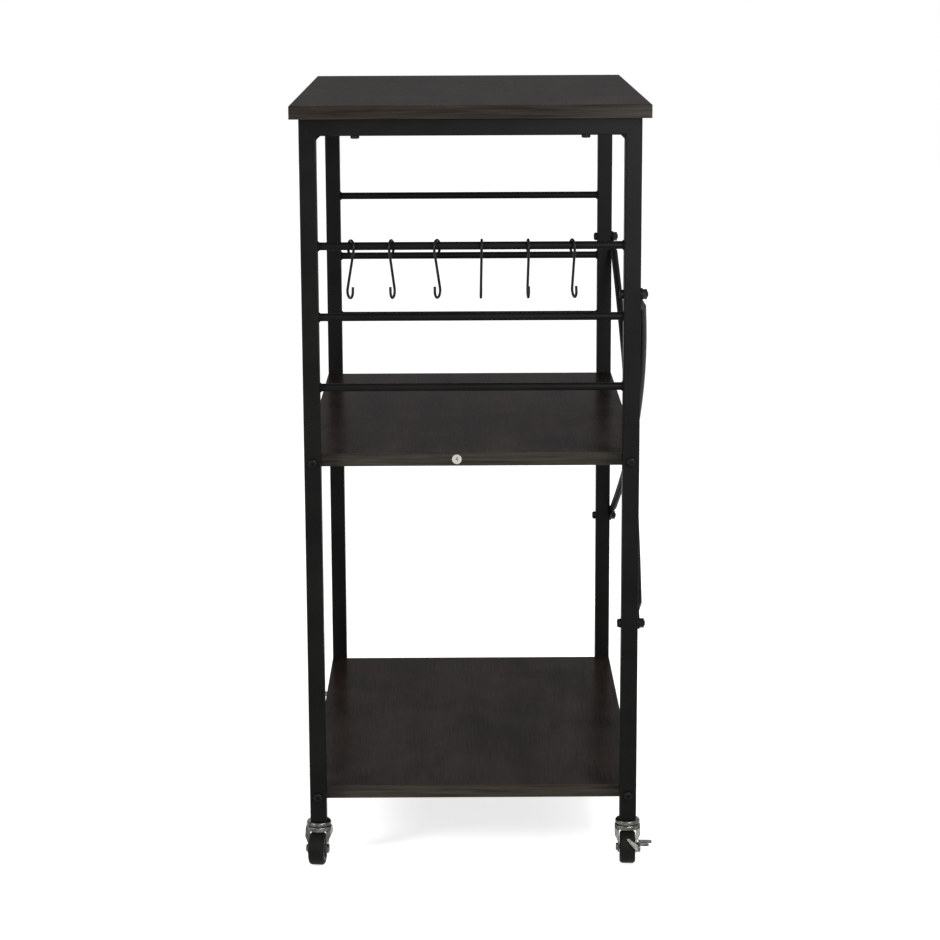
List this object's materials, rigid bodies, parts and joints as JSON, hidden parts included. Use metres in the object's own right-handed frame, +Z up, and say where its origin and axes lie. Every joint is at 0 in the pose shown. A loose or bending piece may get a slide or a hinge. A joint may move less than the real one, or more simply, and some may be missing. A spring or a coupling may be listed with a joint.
{
  "type": "rolling serving cart",
  "caption": "Narrow rolling serving cart: dark board worktop and shelves in a black square-tube frame, side rods with S-hooks, crossed brace, swivel casters",
  "frame": {"origin": "on the floor under the middle of the worktop, which is the middle of the footprint", "axes": "+Z up; X across the short side, +X towards the side with the crossed brace; Y along the worktop's long side, -Y towards the end whose rod carries the hooks"},
  "size_m": [0.4199, 0.6349, 0.88],
  "materials": {
    "board": "melamine-faced particle board, charcoal-brown wood grain, low sheen",
    "frame": "satin black powder coat on steel tube",
    "black_bolt": "black-coated steel fasteners, satin",
    "zinc": "bright zinc-plated pressed steel",
    "tyre": "black moulded tread, slightly glossy",
    "hub": "black moulded plastic wheel centre",
    "plug": "black plastic tube insert",
    "hook": "black-coated steel wire",
    "paper": "plain white paper sticker"
  },
  "bodies": {
    "cart": {"worktop": "board", "middle_shelf": "board", "bottom_shelf": "board", "front_left_post": "frame", "front_right_post": "frame", "back_left_post": "frame", "back_right_post": "frame", "front_top_rail": "frame", "front_upper_rod": "frame", "front_middle_rod": "frame", "front_lower_rod": "frame", "back_top_rail": "frame", "back_upper_rod": "frame", "back_middle_rod": "frame", "back_lower_rod": "frame", "outer_brace_rod": "frame", "inner_brace_rod": "frame", "shelf_bolts": "black_bolt", "shelf_barrel_nuts": "zinc", "brace_bolts": "black_bolt", "brace_nuts": "black_bolt", "worktop_screws": "black_bolt", "post_end_plugs": "plug", "caster_stems": "zinc", "caster_upper_races": "zinc", "caster_balls": "zinc", "shelf_sticker": "paper"},
    "front_left_caster": {"front_left_fork": "zinc", "front_left_axle_bolt": "zinc", "front_left_axle_nut": "zinc"},
    "front_left_wheel": {"front_left_tyre": "tyre", "front_left_hub": "hub"},
    "front_right_caster": {"front_right_fork": "zinc", "front_right_axle_bolt": "zinc", "front_right_axle_nut": "zinc", "front_right_brake_stud": "zinc"},
    "front_right_wheel": {"front_right_tyre": "tyre", "front_right_hub": "hub"},
    "front_right_brake": {"front_right_brake_lever": "zinc"},
    "back_left_caster": {"back_left_fork": "zinc", "back_left_axle_bolt": "zinc", "back_left_axle_nut": "zinc", "back_left_brake_stud": "zinc"},
    "back_left_wheel": {"back_left_tyre": "tyre", "back_left_hub": "hub"},
    "back_left_brake": {"back_left_brake_lever": "zinc"},
    "back_right_caster": {"back_right_fork": "zinc", "back_right_axle_bolt": "zinc", "back_right_axle_nut": "zinc"},
    "back_right_wheel": {"back_right_tyre": "tyre", "back_right_hub": "hub"},
    "hook_1": {"hook_1": "hook"},
    "hook_2": {"hook_2": "hook"},
    "hook_3": {"hook_3": "hook"},
    "hook_4": {"hook_4": "hook"},
    "hook_5": {"hook_5": "hook"},
    "hook_6": {"hook_6": "hook"}
  },
  "joints": [
    {"name": "front_left_swivel", "type": "hinge", "parent": "cart", "child": "front_left_caster", "pos_m": [-0.1805, -0.2805, 0.0445], "axis": [0, 0, 1], "continuous": true},
    {"name": "front_left_roll", "type": "hinge", "parent": "front_left_caster", "child": "front_left_wheel", "pos_m": [-0.18175, -0.29243, 0.019], "axis": [0.9945, -0.1045, 0], "continuous": true},
    {"name": "front_right_swivel", "type": "hinge", "parent": "cart", "child": "front_right_caster", "pos_m": [0.1805, -0.2805, 0.0445], "axis": [0, 0, 1], "continuous": true},
    {"name": "front_right_roll", "type": "hinge", "parent": "front_right_caster", "child": "front_right_wheel", "pos_m": [0.17987, -0.29248, 0.019], "axis": [0.9986, -0.0523, 0], "continuous": true},
    {"name": "front_right_brake", "type": "hinge", "parent": "front_right_caster", "child": "front_right_brake", "pos_m": [0.19258, -0.30416, 0.02], "axis": [0.9986, -0.0523, 0], "range_deg": [-9, 0]},
    {"name": "back_left_swivel", "type": "hinge", "parent": "cart", "child": "back_left_caster", "pos_m": [-0.1805, 0.2805, 0.0445], "axis": [0, 0, 1], "continuous": true},
    {"name": "back_left_roll", "type": "hinge", "parent": "back_left_caster", "child": "back_left_wheel", "pos_m": [-0.1805, 0.2925, 0.019], "axis": [-1, 0, 0], "continuous": true},
    {"name": "back_left_brake", "type": "hinge", "parent": "back_left_caster", "child": "back_left_brake", "pos_m": [-0.1938, 0.3035, 0.02], "axis": [-1, 0, 0], "range_deg": [-9, 0]},
    {"name": "back_right_swivel", "type": "hinge", "parent": "cart", "child": "back_right_caster", "pos_m": [0.1805, 0.2805, 0.0445], "axis": [0, 0, 1], "continuous": true},
    {"name": "back_right_roll", "type": "hinge", "parent": "back_right_caster", "child": "back_right_wheel", "pos_m": [0.1805, 0.2925, 0.019], "axis": [-1, 0, 0], "continuous": true},
    {"name": "hook_1_swing", "type": "hinge", "parent": "cart", "child": "hook_1", "pos_m": [-0.134, -0.2805, 0.723], "axis": [1, 0, 0], "range_deg": [-80, 80]},
    {"name": "hook_2_swing", "type": "hinge", "parent": "cart", "child": "hook_2", "pos_m": [-0.089, -0.2805, 0.723], "axis": [1, 0, 0], "range_deg": [-80, 80]},
    {"name": "hook_3_swing", "type": "hinge", "parent": "cart", "child": "hook_3", "pos_m": [-0.038, -0.2805, 0.723], "axis": [1, 0, 0], "range_deg": [-80, 80]},
    {"name": "hook_4_swing", "type": "hinge", "parent": "cart", "child": "hook_4", "pos_m": [0.012, -0.2805, 0.723], "axis": [1, 0, 0], "range_deg": [-80, 80]},
    {"name": "hook_5_swing", "type": "hinge", "parent": "cart", "child": "hook_5", "pos_m": [0.064, -0.2805, 0.723], "axis": [1, 0, 0], "range_deg": [-80, 80]},
    {"name": "hook_6_swing", "type": "hinge", "parent": "cart", "child": "hook_6", "pos_m": [0.1135, -0.2805, 0.723], "axis": [1, 0, 0], "range_deg": [-80, 80]}
  ]
}
